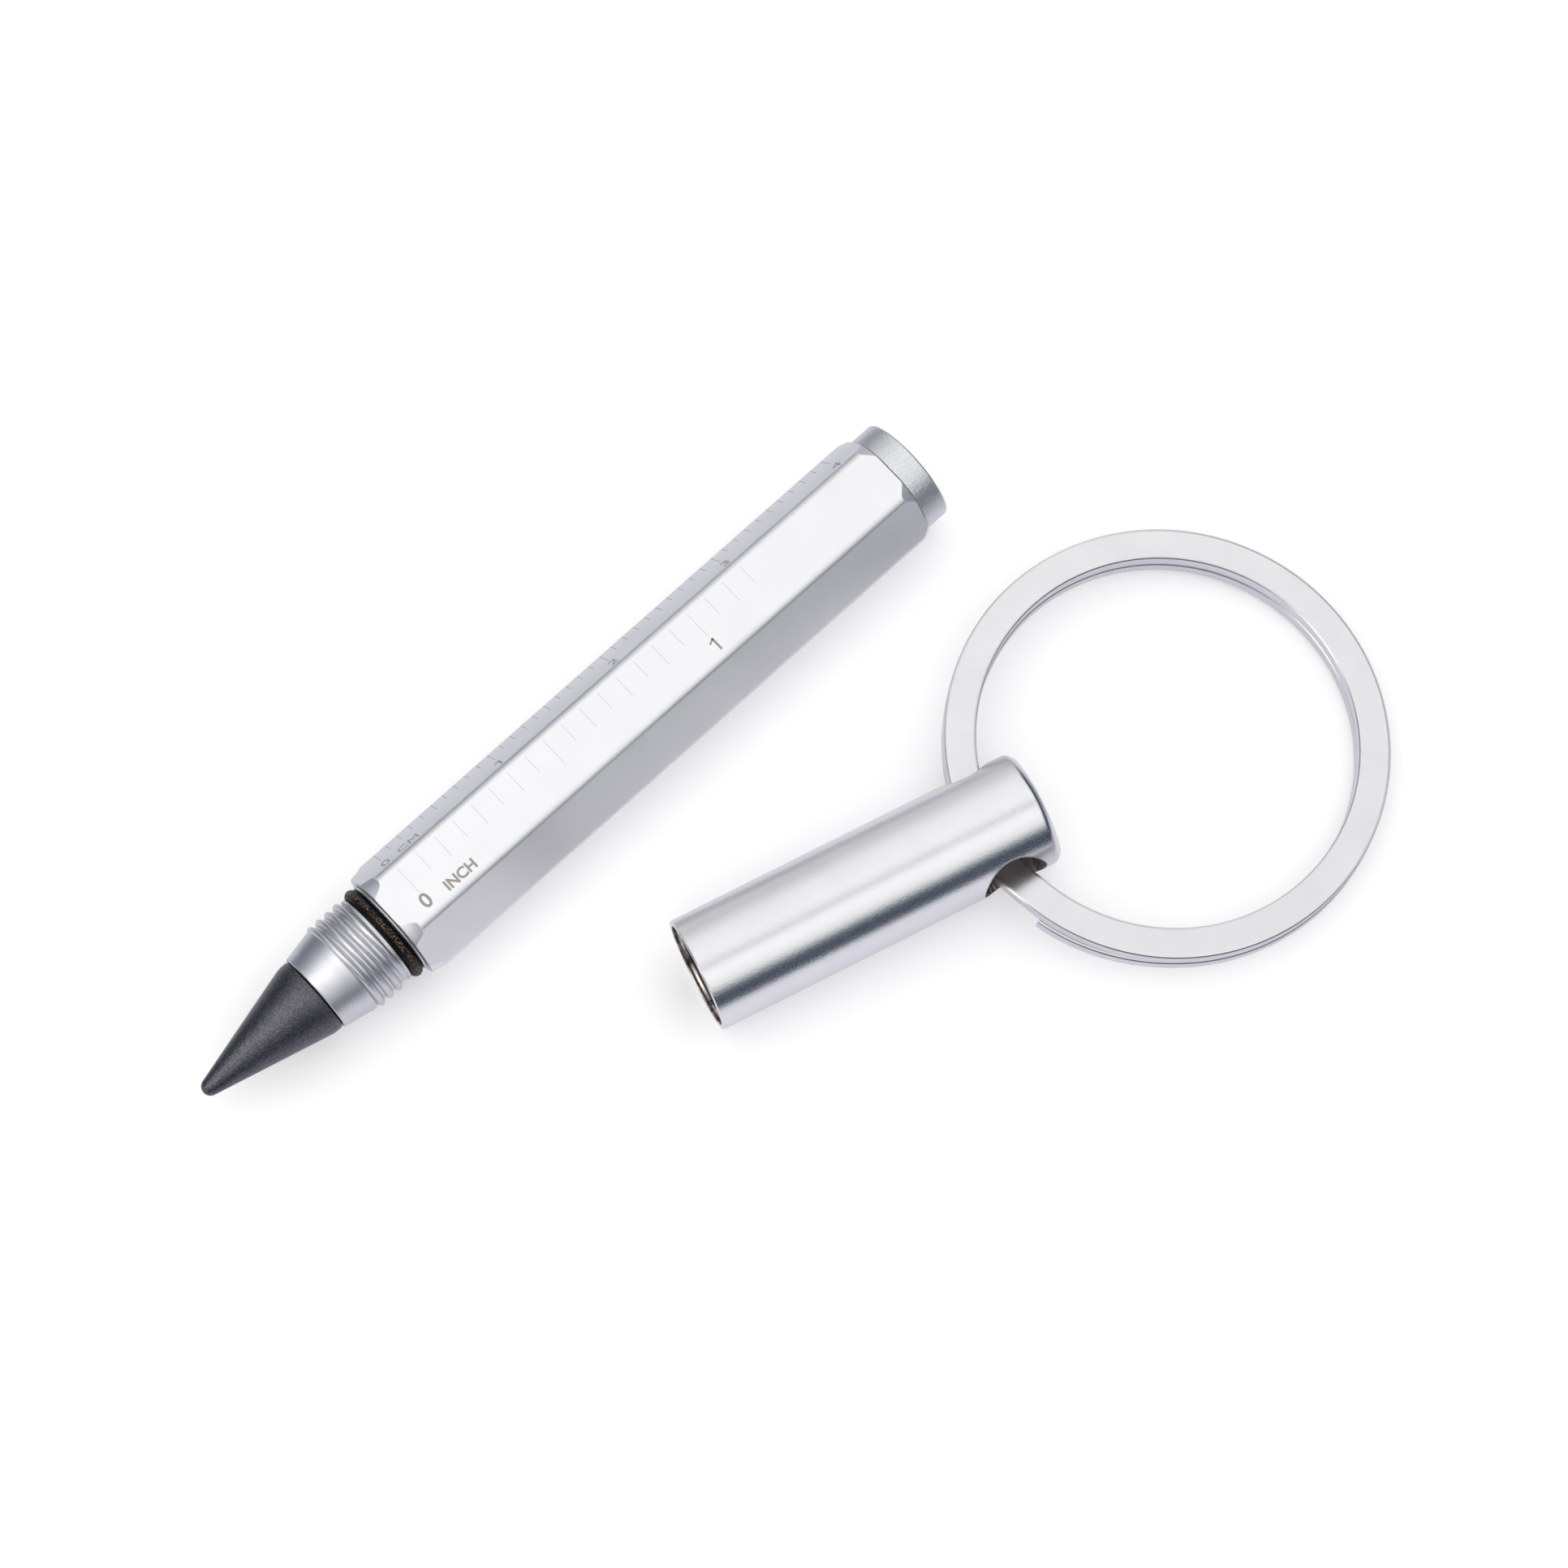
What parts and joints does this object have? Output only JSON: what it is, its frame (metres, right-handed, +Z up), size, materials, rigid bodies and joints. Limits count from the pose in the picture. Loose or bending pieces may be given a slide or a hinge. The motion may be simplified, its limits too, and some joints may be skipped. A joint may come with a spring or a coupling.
{
  "type": "everlasting pencil",
  "caption": "Short hexagonal aluminium pencil with a graphite tip and engraved rulers, lying beside its screw cap on a flat split ring.",
  "frame": {"origin": "middle of the barrel's underside, on the table", "axes": "+X along the cap from its mouth to its closed end, +Y towards the pencil's side of the cap, +Z up"},
  "size_m": [0.0817, 0.043, 0.0079],
  "materials": {
    "anodised_aluminium": "satin clear anodised",
    "turned_aluminium": "turned, satin anodised",
    "blasted_aluminium": "bead blasted",
    "cap_aluminium": "satin anodised",
    "seal_rubber": "black, slightly dusty",
    "graphite": "pressed graphite, speckled sheen",
    "stem_aluminium": "machined",
    "ring_steel": "satin"
  },
  "bodies": {
    "pencil": {"hex_barrel": "anodised_aluminium", "front_ferrule": "turned_aluminium", "rear_plug": "blasted_aluminium", "seal_ring": "seal_rubber", "writing_tip": "graphite", "tip_stem": "stem_aluminium"},
    "cap": {"screw_cap": "cap_aluminium"},
    "ring": {"split_ring": "ring_steel"}
  },
  "joints": [
    {"name": "cap_pull", "type": "slide", "parent": "pencil", "child": "cap", "axis": [1, 0, 0], "range_m": [0, 0.045]},
    {"name": "ring_swing", "type": "hinge", "parent": "cap", "child": "ring", "pos_m": [0.01635, -0.01804, 0.00355], "axis": [0, -1, 0], "range_deg": [0, 150]}
  ]
}
